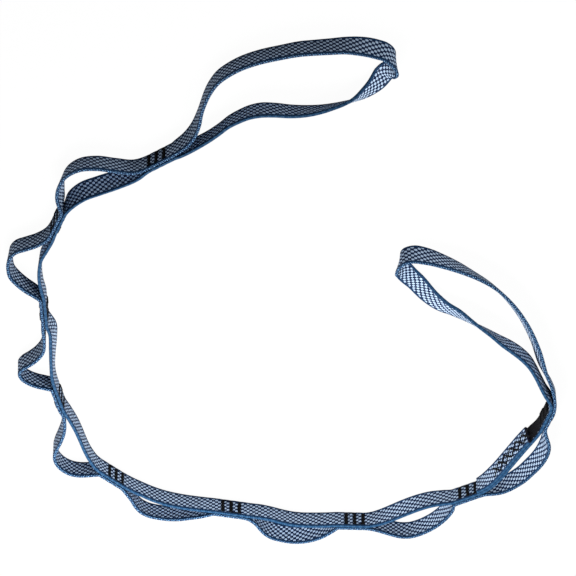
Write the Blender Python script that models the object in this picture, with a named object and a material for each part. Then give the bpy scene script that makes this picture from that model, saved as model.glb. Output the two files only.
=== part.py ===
"""Climbing daisy chain: a long sling of flat webbing, sewn into eight pockets and two end loops.

The webbing stands on its edge on the ground and lies in the shape of a C. Two strands run side
by side. The load strand, on the inner side of the C, is nearly taut. The pocket strand, on the
outer side, bulges between the bar tacks. Each bar tack is three bars of thread that pass through
both strands. The chain flexes beside each bar tack, about an upright axis: the strands before it
end in a round nose and the strands after it begin with a hollow of the same centre. Each end loop
makes half a turn between its ends, which holds it open.

Units are metres, +Z is up, and the lower edge of the webbing stands on z = 0.
"""
import math

import bmesh
import bpy
from mathutils import Matrix, Vector

# Webbing
WEB_WIDTH = 0.016
WEB_THICKNESS = 0.0026
WEB_EDGE_ROUND = 0.0009
LAYER_GAP = 0.0003

# Chain
PITCH = 0.100
END_LOOP_A_REACH = 0.210
END_LOOP_B_REACH = 0.206
END_LOOP_TWIST = math.radians(180)

# Bar tacks
BAR_SPACING = 0.0070
BAR_WIDTH = 0.0022
BAR_LENGTH = 0.0126
BAR_RISE = 0.0008
BAR_EDGE_ROUND = 0.00035
THREAD_CORE = 0.0008
THREAD_CLEARANCE = 0.0003
JUMP_THREAD = 0.0007

# Flexing place beside each bar tack
NOSE_OVERSIZE = 0.00006
TURN_CLEARANCE = 0.0003
BAR_MARGIN = 0.0005
BEND_RUN = 0.0015

# Splice of the webbing and the plain label beside it
TAIL_START = 0.0100
TAIL_LENGTH = 0.0740
SPLICE_BAR_PITCH = 0.0090
SPLICE_BAR_WIDTH = 0.0016
SPLICE_BAR_MARGIN = 0.0060
LABEL_WIDTH = 0.0136
LABEL_THICKNESS = 0.0005
LABEL_OVERRUN = 0.0010
LABEL_GAP = 0.0004
LABEL_LIFT = 0.0006

# Modelling
SWEEP_STEP = 0.0046
SWEEP_TURN = math.radians(20)
CUT_OVERRUN = 0.0020
WELD = 0.00001
SMOOTH_ANGLE = math.radians(30)
UP = Vector((0, 0, 1))
POCKETS = 8
BARS_PER_TACK = 3
SPLICE_BARS = 6
ROUND_SIDES = 32
BASE_LINK = 4

# Looks
WEBBING_COLOUR = (0.42, 0.44, 0.56)
WEBBING_ROUGHNESS = 0.75
THREAD_COLOUR = (0.012, 0.012, 0.014)
THREAD_ROUGHNESS = 0.6
LABEL_COLOUR = (0.010, 0.010, 0.012)
LABEL_ROUGHNESS = 0.7

HALF_STACK = WEB_THICKNESS + LAYER_GAP / 2
LAYER_OFFSET = (WEB_THICKNESS + LAYER_GAP) / 2
NOSE_RADIUS = HALF_STACK + NOSE_OVERSIZE
HOLLOW_RADIUS = NOSE_RADIUS + TURN_CLEARANCE
TACK_HALF = BAR_SPACING * (BARS_PER_TACK - 1) / 2 + BAR_WIDTH / 2
HINGE_OFFSET = TACK_HALF + BAR_MARGIN + HOLLOW_RADIUS
TACK_RUN = TACK_HALF + BAR_MARGIN

# Directions in degrees, anticlockwise from +X: each link from tack to tack, and the webbing at
# each tack. The first tack's place is measured from the middle of the whole object's footprint.
FIRST_TACK_SHARES = (0.981, -1.539)
LINK_HEADINGS = (38.8, 81.5, 94.7, 114.6, 157.7, 172.0, 199.9, 235.9)
LINK_LENGTH_SHARES = (1.026, 0.954, 0.988, 1.020, 1.035, 1.041, 1.002, 1.102)
TACK_HEADINGS = (33.5, 68.0, 92.0, 103.0, 138.0, 169.0, 178.0, 207.0, 252.0)
END_LOOP_B_HEADING = 273.0

# Routes between the tacks: along the link and outwards, as shares of the pitch, and the lean of
# the webbing in degrees, with its upper edge outwards where positive.
LOAD_SHARES = (
    ((0.22, -0.004, -10), (0.38, 0.030, -24), (0.55, 0.074, -30), (0.68, 0.104, -28),
     (0.79, 0.098, -18)),
    ((0.16, 0.005, 0), (0.27, 0.048, 2), (0.38, 0.080, 3), (0.50, 0.083, 3), (0.60, 0.072, 2),
     (0.70, 0.048, 0)),
    ((0.14, -0.020, 9), (0.22, -0.038, 14), (0.39, -0.026, 14), (0.56, -0.002, 8),
     (0.73, 0.014, 3)),
    ((0.20, 0.008, 1), (0.34, 0.016, 2), (0.47, 0.034, 2), (0.60, 0.056, 1), (0.72, 0.067, 0),
     (0.82, 0.062, 0)),
    ((0.17, 0.040, 0), (0.26, 0.058, 0), (0.36, 0.076, 1), (0.46, 0.083, 1), (0.62, 0.072, 1),
     (0.76, 0.045, 0), (0.86, 0.022, 0)),
    ((0.17, -0.004, 0), (0.25, -0.002, 0), (0.34, 0.010, -1), (0.43, 0.030, -1), (0.52, 0.044, -1),
     (0.60, 0.045, -1), (0.70, 0.035, 0), (0.82, 0.016, 0)),
    ((0.14, 0.030, 2), (0.22, 0.030, 7), (0.32, 0.015, 11), (0.44, -0.008, 13), (0.56, -0.026, 11),
     (0.68, -0.030, 7), (0.78, -0.022, 2)),
    ((0.14, 0.048, 5), (0.22, 0.060, 12), (0.32, 0.062, 14), (0.45, 0.054, 14), (0.58, 0.043, 14),
     (0.72, 0.032, 14), (0.85, 0.027, 11), (0.95, 0.024, 4)),
)
POCKET_SHARES = (
    ((0.20, 0.055, 0), (0.30, 0.155, 0), (0.40, 0.265, 0), (0.51, 0.332, 4), (0.62, 0.340, 9),
     (0.74, 0.288, 14), (0.835, 0.192, 17), (0.880, 0.124, 10)),
    ((0.15, 0.060, 0), (0.235, 0.140, 0), (0.285, 0.220, 0), (0.330, 0.290, 1), (0.385, 0.322, 3),
     (0.450, 0.330, 6), (0.520, 0.320, 8), (0.590, 0.300, 7), (0.665, 0.240, 5), (0.730, 0.165, 3),
     (0.780, 0.090, 0)),
    ((0.18, 0.028, 0), (0.31, 0.034, -2), (0.42, 0.060, -5), (0.49, 0.110, -6), (0.55, 0.180, -6),
     (0.590, 0.240, -4), (0.640, 0.275, -2), (0.705, 0.262, 0), (0.760, 0.215, 0),
     (0.805, 0.145, 0), (0.832, 0.080, 0)),
    ((0.16, 0.036, 0), (0.25, 0.070, -4), (0.34, 0.125, -6), (0.42, 0.195, -6), (0.49, 0.265, -3),
     (0.55, 0.310, 0), (0.61, 0.328, 2), (0.68, 0.328, 3), (0.745, 0.308, 3), (0.795, 0.275, 3),
     (0.835, 0.225, 2), (0.862, 0.165, 1), (0.882, 0.110, 0)),
    ((0.145, 0.090, 0), (0.215, 0.150, 0), (0.275, 0.210, 0), (0.335, 0.250, 0), (0.400, 0.268, 0),
     (0.500, 0.262, 0), (0.600, 0.238, 0), (0.670, 0.207, 0), (0.740, 0.163, 0), (0.820, 0.110, 0),
     (0.870, 0.068, 0)),
    ((0.155, 0.032, 0), (0.225, 0.078, 2), (0.280, 0.138, 6), (0.330, 0.184, 9), (0.385, 0.217, 11),
     (0.460, 0.234, 13), (0.550, 0.241, 14), (0.620, 0.231, 14), (0.700, 0.201, 13),
     (0.775, 0.156, 10), (0.835, 0.103, 6), (0.878, 0.060, 2)),
    ((0.145, 0.088, 0), (0.200, 0.133, 2), (0.260, 0.186, 4), (0.325, 0.234, 7), (0.395, 0.259, 9),
     (0.480, 0.258, 10), (0.560, 0.240, 11), (0.620, 0.219, 12), (0.680, 0.189, 13),
     (0.760, 0.136, 13), (0.825, 0.082, 7)),
    ((0.120, 0.088, 2), (0.160, 0.130, 6), (0.210, 0.171, 12), (0.270, 0.200, 17),
     (0.335, 0.220, 20), (0.420, 0.238, 23), (0.520, 0.242, 25), (0.610, 0.242, 27),
     (0.690, 0.232, 27), (0.760, 0.213, 26), (0.820, 0.187, 22), (0.870, 0.155, 16),
     (0.915, 0.115, 9), (0.955, 0.079, 3)),
)

# Routes of the two end loops, from the load strand round to the pocket strand: away from the tack
# along the webbing and outwards, as shares of the loop's reach, and the lean in degrees. Each loop
# is sewn with half a turn in its webbing, so the far strand is the other way up at its tack. It
# nearly lies down before it goes round the end.
END_LOOP_A_SHARES = (
    (0.082, -0.015, 180), (0.170, -0.014, 175), (0.217, -0.011, 173), (0.266, -0.004, 173),
    (0.320, 0.007, 174), (0.362, 0.008, 176), (0.406, 0.004, 178), (0.445, -0.009, 180),
    (0.489, -0.038, 178), (0.533, -0.074, 174), (0.581, -0.105, 168), (0.629, -0.128, 160),
    (0.680, -0.145, 152), (0.730, -0.157, 144), (0.772, -0.162, 132), (0.814, -0.159, 118),
    (0.857, -0.150, 104), (0.889, -0.136, 93), (0.913, -0.125, 79), (0.936, -0.117, 58),
    (0.956, -0.107, 35), (0.970, -0.093, 10), (0.977, -0.073, -5), (0.979, -0.051, -15),
    (0.972, -0.027, -21), (0.956, -0.004, -26), (0.934, 0.023, -25), (0.905, 0.051, -19),
    (0.873, 0.076, -11), (0.826, 0.102, -6), (0.772, 0.131, -3), (0.725, 0.155, -2),
    (0.656, 0.180, 0), (0.582, 0.203, 0), (0.508, 0.215, 0), (0.456, 0.214, 0),
    (0.408, 0.206, 0), (0.356, 0.182, 0), (0.312, 0.151, 0), (0.274, 0.118, 0),
    (0.231, 0.077, -6), (0.182, 0.041, -9), (0.131, 0.019, -8), (0.087, 0.011, -3),
)
END_LOOP_B_SHARES = (
    (0.125, -0.060, 180), (0.157, -0.087, 180), (0.209, -0.130, 180), (0.249, -0.169, 180),
    (0.281, -0.216, 178), (0.304, -0.264, 174), (0.324, -0.317, 166), (0.346, -0.369, 156),
    (0.366, -0.424, 146), (0.385, -0.476, 135), (0.401, -0.527, 122), (0.413, -0.587, 110),
    (0.440, -0.646, 100), (0.468, -0.689, 92), (0.496, -0.725, 85), (0.522, -0.761, 75),
    (0.548, -0.789, 57), (0.568, -0.808, 33), (0.587, -0.819, 10), (0.609, -0.821, -3),
    (0.629, -0.816, -10), (0.645, -0.799, -15), (0.654, -0.778, -17), (0.657, -0.753, -14),
    (0.658, -0.721, -8), (0.653, -0.671, 1), (0.640, -0.597, 13), (0.618, -0.522, 24),
    (0.588, -0.446, 29), (0.534, -0.359, 29), (0.456, -0.271, 27), (0.345, -0.179, 24),
    (0.219, -0.096, 19), (0.158, -0.045, 8),
)


def web_profile(width, thickness, edge_round):
    """Returns the section of a strap: thin in X and standing in Y, with its edges rounded."""
    flat = thickness / 2 - edge_round
    shoulder = width / 2 - edge_round
    quarter = [(thickness / 2, shoulder), (flat, width / 2)]
    upper = quarter + [(-x, y) for x, y in reversed(quarter)]
    return upper + [(-x, -y) for x, y in upper]


def plain_profile(width, thickness):
    """Returns the section of a thin flat piece."""
    return [(thickness / 2, width / 2), (-thickness / 2, width / 2),
            (-thickness / 2, -width / 2), (thickness / 2, -width / 2)]


WEB_PROFILE = web_profile(WEB_WIDTH, WEB_THICKNESS, WEB_EDGE_ROUND)


def stand_height(lean):
    """Returns how high the middle of a leaning strap is when its lower edge meets the ground."""
    return max(x * math.sin(lean) - y * math.cos(lean) for x, y in WEB_PROFILE)


def heading_vector(degrees):
    return Vector((math.cos(math.radians(degrees)), math.sin(math.radians(degrees))))


def outward(direction):
    """Returns the normal on the outer side of the chain, to the right of the direction."""
    return Vector((direction.y, -direction.x))


def tack_places():
    """Walks along the links and returns the middle of each bar tack on the ground."""
    places = [Vector(FIRST_TACK_SHARES) * PITCH]
    for heading, share in zip(LINK_HEADINGS, LINK_LENGTH_SHARES):
        places.append(places[-1] + heading_vector(heading) * share * PITCH)
    return places


TACKS = tack_places()
TACK_DIRECTIONS = [heading_vector(heading) for heading in TACK_HEADINGS]


def tack_point(tack, along, out):
    direction = TACK_DIRECTIONS[tack]
    return TACKS[tack] + direction * along + outward(direction) * out


def hinge_place(hinge):
    """Returns the upright axis of a hinge: before its tack, and after the last tack for the last."""
    if hinge < POCKETS:
        return tack_point(hinge, -HINGE_OFFSET, 0)
    return tack_point(POCKETS, HINGE_OFFSET, 0)


def smooth_route(places, first_direction, last_direction):
    """Returns close points on a smooth curve through (x, y, lean) places.

    The curve starts and ends in the given directions, where its lean holds still.
    """
    knots = [Vector(place) for place in places]
    lengths = [(b.xy - a.xy).length for a, b in zip(knots, knots[1:])]
    slopes = [Vector((first_direction.x, first_direction.y, 0))]
    for before, at, after, near, far in zip(knots, knots[1:], knots[2:], lengths, lengths[1:]):
        slope = ((at - before) / near * far + (after - at) / far * near) / (near + far)
        slopes.append(slope)
    slopes.append(Vector((last_direction.x, last_direction.y, 0)))
    points = [knots[0]]
    for index, length in enumerate(lengths):
        start, end = knots[index], knots[index + 1]
        turn = max(slopes[index].xy.angle(slopes[index + 1].xy), abs(end.z - start.z))
        steps = max(1, round(length / SWEEP_STEP), math.ceil(turn / SWEEP_TURN))
        for step in range(1, steps + 1):
            t = step / steps
            rise = slopes[index] * length
            fall = slopes[index + 1] * length
            points.append(start * (2 * t**3 - 3 * t**2 + 1) + rise * (t**3 - 2 * t**2 + t)
                          + end * (3 * t**2 - 2 * t**3) + fall * (t**3 - t**2))
    return points


def flat_point(place, lean=0):
    return Vector((place.x, place.y, lean))


def strand_route(link, side, shares):
    """Returns the route of one strand of a link: side is -1 for load and +1 for pocket."""
    out = side * LAYER_OFFSET
    start = tack_point(link, -HINGE_OFFSET + TURN_CLEARANCE, out)
    leave = tack_point(link, TACK_RUN, out)
    last = link == POCKETS - 1
    join = -TACK_RUN if last else -HINGE_OFFSET - BEND_RUN
    past = HINGE_OFFSET if last else -HINGE_OFFSET
    arrive = tack_point(link + 1, join, out)
    end = tack_point(link + 1, past + NOSE_RADIUS + TURN_CLEARANCE, out)
    direction = heading_vector(LINK_HEADINGS[link])
    side_way = outward(direction)
    places = [flat_point(leave)]
    for along, away, lean in shares:
        place = TACKS[link] + (direction * along + side_way * away) * PITCH
        places.append(flat_point(place, math.radians(lean)))
    places.append(flat_point(arrive))
    span = smooth_route(places, TACK_DIRECTIONS[link], TACK_DIRECTIONS[link + 1])
    return [flat_point(start)] + span + [flat_point(end)]


def end_loop_route(tack, sign, direction, reach, shares):
    """Returns the route of an end loop, out along the load side and back along the pocket side.

    sign is -1 where the loop lies before its tack and +1 where it lies after it, and direction
    is the chain's direction in the loop's doubled webbing.
    """
    hinge = hinge_place(0) if sign < 0 else hinge_place(POCKETS)
    # The first loop ends in noses, and the last one begins with the hollow.
    tip = NOSE_RADIUS + TURN_CLEARANCE if sign < 0 else TURN_CLEARANCE
    run = -BEND_RUN if sign < 0 else HOLLOW_RADIUS + BAR_MARGIN
    layer = outward(direction) * LAYER_OFFSET
    # The first loop runs with its outer side on the right and the last one on the left, so the
    # lean changes side.
    twist = -sign * END_LOOP_TWIST
    places = [flat_point(hinge + direction * run - layer, twist)]
    for away, out, lean in shares:
        place = tack_point(tack, sign * away * reach, out * reach)
        places.append(flat_point(place, -sign * math.radians(lean)))
    places.append(flat_point(hinge + direction * run + layer))
    span = smooth_route(places, direction * sign, -direction * sign)
    first = flat_point(hinge + direction * tip - layer, twist)
    last = flat_point(hinge + direction * tip + layer)
    return [first] + span + [last]


def frame_at(route, place):
    """Returns the point, direction, outward normal and upward axis of a route at a length."""
    left = place
    for a, b in zip(route, route[1:]):
        step = (b.xy - a.xy).length
        if left <= step:
            at = a.lerp(b, left / step)
            along = Vector((b.x - a.x, b.y - a.y, 0)).normalized()
            break
        left -= step
    side = outward(along)
    out = Vector((side.x * math.cos(at.z), side.y * math.cos(at.z), -math.sin(at.z)))
    up = Vector((side.x * math.sin(at.z), side.y * math.sin(at.z), math.cos(at.z)))
    return Vector((at.x, at.y, stand_height(at.z))), along, out, up, at.z


def length_to_tack(route, tack):
    """Returns the length along a route to the place nearest to a bar tack."""
    goal = TACKS[tack]
    best = 0
    nearest = None
    done = 0
    for a, b in zip(route, route[1:]):
        step = (b.xy - a.xy).length
        share_on = max(0, min(1, (goal - a.xy).dot(b.xy - a.xy) / step**2))
        gap = (a.xy.lerp(b.xy, share_on) - goal).length
        if nearest is None or gap < nearest:
            nearest = gap
            best = done + share_on * step
        done += step
    return best


def new_collection(name):
    collection = bpy.data.collections.new(name)
    bpy.context.scene.collection.children.link(collection)
    return collection


def new_material(name, colour, roughness):
    material = bpy.data.materials.new(name)
    material.use_nodes = True
    shader = material.node_tree.nodes["Principled BSDF"]
    shader.inputs["Base Color"].default_value = (*colour, 1)
    shader.inputs["Roughness"].default_value = roughness
    shader.inputs["Metallic"].default_value = 0
    material.diffuse_color = (*colour, 1)
    return material


def new_object(name, shape, origin, collection, material=None):
    """Makes a mesh object of a bmesh in world space, with its origin at the given point."""
    bmesh.ops.recalc_face_normals(shape, faces=shape.faces)
    shape.transform(Matrix.Translation(-origin))
    mesh = bpy.data.meshes.new(name)
    shape.to_mesh(mesh)
    shape.free()
    made = bpy.data.objects.new(name, mesh)
    made.location = origin
    collection.objects.link(made)
    if material:
        mesh.materials.append(material)
    else:
        made.hide_render = True
        made.display_type = "WIRE"
    return made


def cut(target, cutter, operation="DIFFERENCE"):
    modifier = target.modifiers.new(cutter.name, "BOOLEAN")
    modifier.operation = operation
    modifier.solver = "EXACT"
    modifier.object = cutter


def sweep(name, points, profile, origin, collection, material):
    """Carries a section along (place, lean) points and returns the closed mesh object."""
    section = bpy.data.curves.new(name + "_section", "CURVE")
    section.dimensions = "2D"
    ring = section.splines.new("POLY")
    ring.points.add(len(profile) - 1)
    ring.use_cyclic_u = True
    for point, (x, y) in zip(ring.points, profile):
        point.co = (x, y, 0, 1)
    section_object = bpy.data.objects.new(name + "_section", section)
    path = bpy.data.curves.new(name + "_path", "CURVE")
    path.dimensions = "3D"
    path.twist_mode = "Z_UP"
    path.bevel_mode = "OBJECT"
    path.bevel_object = section_object
    path.use_fill_caps = True
    line = path.splines.new("POLY")
    line.points.add(len(points) - 1)
    for point, (place, lean) in zip(line.points, points):
        point.co = (*place, 1)
        point.tilt = lean
    path_object = bpy.data.objects.new(name + "_path", path)
    collection.objects.link(section_object)
    collection.objects.link(path_object)
    bpy.context.view_layer.update()
    evaluated = path_object.evaluated_get(bpy.context.evaluated_depsgraph_get())
    mesh = bpy.data.meshes.new_from_object(evaluated)
    shape = bmesh.new()
    shape.from_mesh(mesh)
    bmesh.ops.remove_doubles(shape, verts=shape.verts, dist=WELD)
    bpy.data.meshes.remove(mesh)
    bpy.data.objects.remove(path_object)
    bpy.data.objects.remove(section_object)
    bpy.data.curves.remove(path)
    bpy.data.curves.remove(section)
    return new_object(name, shape, origin, collection, material)


def web(name, route, origin, collection, material):
    """Makes a strap that stands or leans on the ground along a route."""
    points = [(Vector((at.x, at.y, stand_height(at.z))), at.z) for at in route]
    made = sweep(name, points, WEB_PROFILE, origin, collection, material)
    made.data.shade_smooth()
    made.data.set_sharp_from_angle(angle=SMOOTH_ANGLE)
    return made


def beside(route, start, end, offset):
    """Returns (place, lean) points of a piece that lies beside a route, against its inner face."""
    count = max(1, round((end - start) / SWEEP_STEP))
    points = []
    for step in range(count + 1):
        place, _, out, _, lean = frame_at(route, start + (end - start) * step / count)
        points.append((place - out * offset, lean))
    return points


def add_box(shape, centre, along, out, up, sizes):
    """Adds a box with its own axes to a bmesh."""
    turn = Matrix((along, out, up)).transposed().to_4x4()
    place = Matrix.Translation(centre) @ turn @ Matrix.Diagonal((*sizes, 1))
    bmesh.ops.create_cube(shape, size=1, matrix=place)


def add_prism(shape, outline, centre, along, out, up, height):
    """Adds a prism of a plane outline, centred at the given point, to a bmesh."""
    low = [centre + along * x + out * y - up * height / 2 for x, y in outline]
    corners = [shape.verts.new(point) for point in low]
    face = shape.faces.new(corners)
    lifted = bmesh.ops.extrude_face_region(shape, geom=[face])
    moved = [item for item in lifted["geom"] if isinstance(item, bmesh.types.BMVert)]
    bmesh.ops.translate(shape, verts=moved, vec=up * height)


def thread_bar_outline(bar_width, inner, outer):
    """Returns the plan of one bar: a head on each face and a core that joins them."""
    half = bar_width / 2
    core = THREAD_CORE / 2
    worn = BAR_EDGE_ROUND
    upper = [(core, 0), (core, outer), (half, outer), (half, outer + BAR_RISE - worn),
             (half - worn, outer + BAR_RISE)]
    upper = upper + [(-x, y) for x, y in reversed(upper)]
    lower = [(core, inner), (half, inner), (half, inner - BAR_RISE + worn),
             (half - worn, inner - BAR_RISE)]
    lower = [(-x, y) for x, y in lower] + [(x, y) for x, y in reversed(lower)]
    return [point for point in upper if point[1]] + lower


def add_slot(shape, centre, along, out, up, reach, depth):
    """Adds the cutter of one bar's opening through the webbing."""
    opening = THREAD_CORE + THREAD_CLEARANCE * 2
    sizes = (opening, depth * 2, BAR_LENGTH + THREAD_CLEARANCE * 2)
    add_box(shape, centre + out * reach, along, out, up, sizes)


def add_tack_slots(shape, tack):
    for bar in range(BARS_PER_TACK):
        along = (bar - (BARS_PER_TACK - 1) / 2) * BAR_SPACING
        way = TACK_DIRECTIONS[tack]
        centre = tack_point(tack, along, 0).to_3d() + UP * WEB_WIDTH / 2
        add_slot(shape, centre, way.to_3d(), outward(way).to_3d(), UP, 0, HALF_STACK + CUT_OVERRUN)


def add_hollow(shape, hinge):
    centre = hinge_place(hinge).to_3d() + UP * WEB_WIDTH / 2
    bmesh.ops.create_cone(shape, cap_ends=True, segments=ROUND_SIDES, radius1=HOLLOW_RADIUS,
                          radius2=HOLLOW_RADIUS, depth=WEB_WIDTH + CUT_OVERRUN * 2,
                          matrix=Matrix.Translation(centre))


def add_nose(shape, hinge, way):
    """Adds the cutter that leaves a round nose at a hinge, on webbing that runs the given way."""
    reach = NOSE_RADIUS + CUT_OVERRUN
    outline = [(0, -NOSE_RADIUS), (0, -reach), (reach, -reach), (reach, reach), (0, reach)]
    for step in range(ROUND_SIDES // 2):
        angle = math.pi / 2 - math.pi * step / (ROUND_SIDES // 2)
        outline.append((math.cos(angle) * NOSE_RADIUS, math.sin(angle) * NOSE_RADIUS))
    centre = hinge_place(hinge).to_3d() + UP * WEB_WIDTH / 2
    add_prism(shape, outline, centre, way.to_3d(), outward(way).to_3d(), UP,
              WEB_WIDTH + CUT_OVERRUN * 2)


def body_origin(link):
    """Returns the axis that a link turns about: the hinge towards the link held as the base."""
    return hinge_place(link + 1 if link < BASE_LINK else link).to_3d()


def build_links(parts, cutters, webbing):
    """Builds the two strands of every link and returns the strands and routes of the last one."""
    for link in range(POCKETS):
        number = str(link + 1)
        origin = body_origin(link)
        shape = bmesh.new()
        add_tack_slots(shape, link)
        add_hollow(shape, link)
        last = link == POCKETS - 1
        if last:
            add_tack_slots(shape, POCKETS)
        add_nose(shape, link + 1, TACK_DIRECTIONS[link + 1])
        cutter = new_object("strand_cutter_" + number, shape, origin, cutters)
        load_route = strand_route(link, -1, LOAD_SHARES[link])
        load = web("load_strand_" + number, load_route, origin, parts, webbing)
        pocket_route = strand_route(link, 1, POCKET_SHARES[link])
        pocket = web("pocket_strand_" + number, pocket_route, origin, parts, webbing)
        cut(load, cutter)
        cut(pocket, cutter)
    return load, load_route


def build_end_loops(parts, cutters, webbing):
    origin = hinge_place(0).to_3d()
    way = TACK_DIRECTIONS[0]
    route = end_loop_route(0, -1, way, END_LOOP_A_REACH, END_LOOP_A_SHARES)
    loop = web("end_loop_a", route, origin, parts, webbing)
    shape = bmesh.new()
    add_nose(shape, 0, way)
    cut(loop, new_object("end_loop_a_cutter", shape, origin, cutters))

    origin = hinge_place(POCKETS).to_3d()
    way = heading_vector(END_LOOP_B_HEADING)
    route = end_loop_route(POCKETS, 1, way, END_LOOP_B_REACH, END_LOOP_B_SHARES)
    loop = web("end_loop_b", route, origin, parts, webbing)
    shape = bmesh.new()
    add_hollow(shape, POCKETS)
    cut(loop, new_object("end_loop_b_cutter", shape, origin, cutters))


def build_bar_tacks(parts, cutters, thread):
    """Builds each bar tack as one thread: three bars, joined by jumps on the outer face."""
    for tack in range(POCKETS + 1):
        number = str(tack + 1)
        link = min(tack, POCKETS - 1)
        origin = body_origin(link)
        way = TACK_DIRECTIONS[tack].to_3d()
        out = outward(TACK_DIRECTIONS[tack]).to_3d()
        face = HALF_STACK + THREAD_CLEARANCE
        inner = face
        if tack == POCKETS:
            inner += LABEL_THICKNESS + LABEL_LIFT
        shape = bmesh.new()
        jumps = bmesh.new()
        for bar in range(BARS_PER_TACK):
            along = (bar - (BARS_PER_TACK - 1) / 2) * BAR_SPACING
            centre = tack_point(tack, along, 0).to_3d() + UP * WEB_WIDTH / 2
            outline = thread_bar_outline(BAR_WIDTH, -inner, face)
            add_prism(shape, outline, centre, way, out, UP, BAR_LENGTH)
            if bar:
                low = centre - UP * (BAR_LENGTH / 2 - JUMP_THREAD) + out * (face + BAR_RISE / 2)
                add_box(jumps, low - way * BAR_SPACING / 2, way, out, UP,
                        (BAR_SPACING - THREAD_CORE, JUMP_THREAD, JUMP_THREAD))
        tack_object = new_object("bar_tack_" + number, shape, origin, parts, thread)
        cut(tack_object, new_object("jump_thread_" + number, jumps, origin, cutters), "UNION")


def build_splice(load, route, parts, cutters, webbing, thread, label_cloth):
    """Builds the webbing's lapped end on the last load strand, its seam and the plain label."""
    origin = body_origin(POCKETS - 1)
    first = length_to_tack(route, POCKETS - 1)
    last = length_to_tack(route, POCKETS)
    tail_end = first + TAIL_START + TAIL_LENGTH
    layer = WEB_THICKNESS + LAYER_GAP
    points = beside(route, first + TAIL_START, tail_end, layer)
    tail = sweep("splice_tail", points, WEB_PROFILE, origin, parts, webbing)
    tail.data.shade_smooth()
    tail.data.set_sharp_from_angle(angle=SMOOTH_ANGLE)

    shape = bmesh.new()
    jumps = bmesh.new()
    slots = bmesh.new()
    outer = WEB_THICKNESS / 2 + THREAD_CLEARANCE
    inner = outer + layer
    before = None
    for bar in range(SPLICE_BARS):
        place = tail_end - SPLICE_BAR_MARGIN - (SPLICE_BARS - 1 - bar) * SPLICE_BAR_PITCH
        centre, way, out, up, _ = frame_at(route, place)
        outline = thread_bar_outline(SPLICE_BAR_WIDTH, -inner, outer)
        add_prism(shape, outline, centre, way, out, up, BAR_LENGTH)
        add_slot(slots, centre, way, out, up, -layer / 2, layer + CUT_OVERRUN)
        low = centre - up * (BAR_LENGTH / 2 - JUMP_THREAD) - out * (inner + BAR_RISE / 2)
        if before:
            chord = low - before
            add_box(jumps, (low + before) / 2, chord.normalized(), out, up,
                    (chord.length - THREAD_CORE, JUMP_THREAD, JUMP_THREAD))
        before = low
    seam = new_object("splice_seam", shape, origin, parts, thread)
    cut(seam, new_object("splice_jump_thread", jumps, origin, cutters), "UNION")
    slot_cutter = new_object("splice_slot_cutter", slots, origin, cutters)
    cut(tail, slot_cutter)
    cut(load, slot_cutter)

    offset = WEB_THICKNESS / 2 + LABEL_LIFT + LABEL_THICKNESS / 2
    points = beside(route, tail_end + LABEL_GAP, last + TACK_HALF + LABEL_OVERRUN, offset)
    profile = plain_profile(LABEL_WIDTH, LABEL_THICKNESS)
    label = sweep("label", points, profile, origin, parts, label_cloth)
    slots = bmesh.new()
    add_tack_slots(slots, POCKETS)
    cut(label, new_object("label_slot_cutter", slots, origin, cutters))


def main():
    for item in list(bpy.data.objects):
        bpy.data.objects.remove(item)
    parts = new_collection("climbing_daisy_chain")
    cutters = new_collection("cutters")
    cutters.hide_render = True
    webbing = new_material("webbing", WEBBING_COLOUR, WEBBING_ROUGHNESS)
    thread = new_material("thread", THREAD_COLOUR, THREAD_ROUGHNESS)
    label_cloth = new_material("label", LABEL_COLOUR, LABEL_ROUGHNESS)
    load, route = build_links(parts, cutters, webbing)
    build_end_loops(parts, cutters, webbing)
    build_bar_tacks(parts, cutters, thread)
    build_splice(load, route, parts, cutters, webbing, thread, label_cloth)


main()
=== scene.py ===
"""Climbing daisy chain: woven webbing, bar tacks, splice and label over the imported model.

Every strand of webbing follows the route of its solid. It runs on through the bar tacks to the
middle of the stitching, and bends beside each bar tack where the chain flexes.
Units are metres, +Z is up, and the lower edge of the webbing stands on z = 0.
"""

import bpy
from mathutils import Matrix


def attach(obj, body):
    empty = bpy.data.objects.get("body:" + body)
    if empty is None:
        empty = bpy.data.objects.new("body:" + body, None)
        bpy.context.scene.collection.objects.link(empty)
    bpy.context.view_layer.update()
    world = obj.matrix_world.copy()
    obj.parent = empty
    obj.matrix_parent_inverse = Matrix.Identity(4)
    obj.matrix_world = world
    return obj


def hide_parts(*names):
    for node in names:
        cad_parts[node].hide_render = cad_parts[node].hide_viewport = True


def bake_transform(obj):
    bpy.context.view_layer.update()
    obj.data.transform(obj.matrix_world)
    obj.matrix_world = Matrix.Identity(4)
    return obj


bl_info = {
    "name": "Climbing daisy chain",
    "version": (1, 0, 0),
    "blender": (4, 5, 0),
    "location": "View3D > Sidebar > Daisy chain",
    "description": "Builds the webbing, stitching and label of a climbing daisy chain",
    "category": "Object",
}

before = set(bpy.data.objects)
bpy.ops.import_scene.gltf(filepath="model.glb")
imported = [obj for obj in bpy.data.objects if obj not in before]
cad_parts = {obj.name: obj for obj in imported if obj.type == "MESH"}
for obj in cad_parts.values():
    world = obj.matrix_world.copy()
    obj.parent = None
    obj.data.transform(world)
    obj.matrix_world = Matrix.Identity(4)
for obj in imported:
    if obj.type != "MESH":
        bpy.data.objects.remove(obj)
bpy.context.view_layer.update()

import math

import bpy
from bpy.props import FloatProperty, FloatVectorProperty, PointerProperty
from mathutils import Vector

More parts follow.
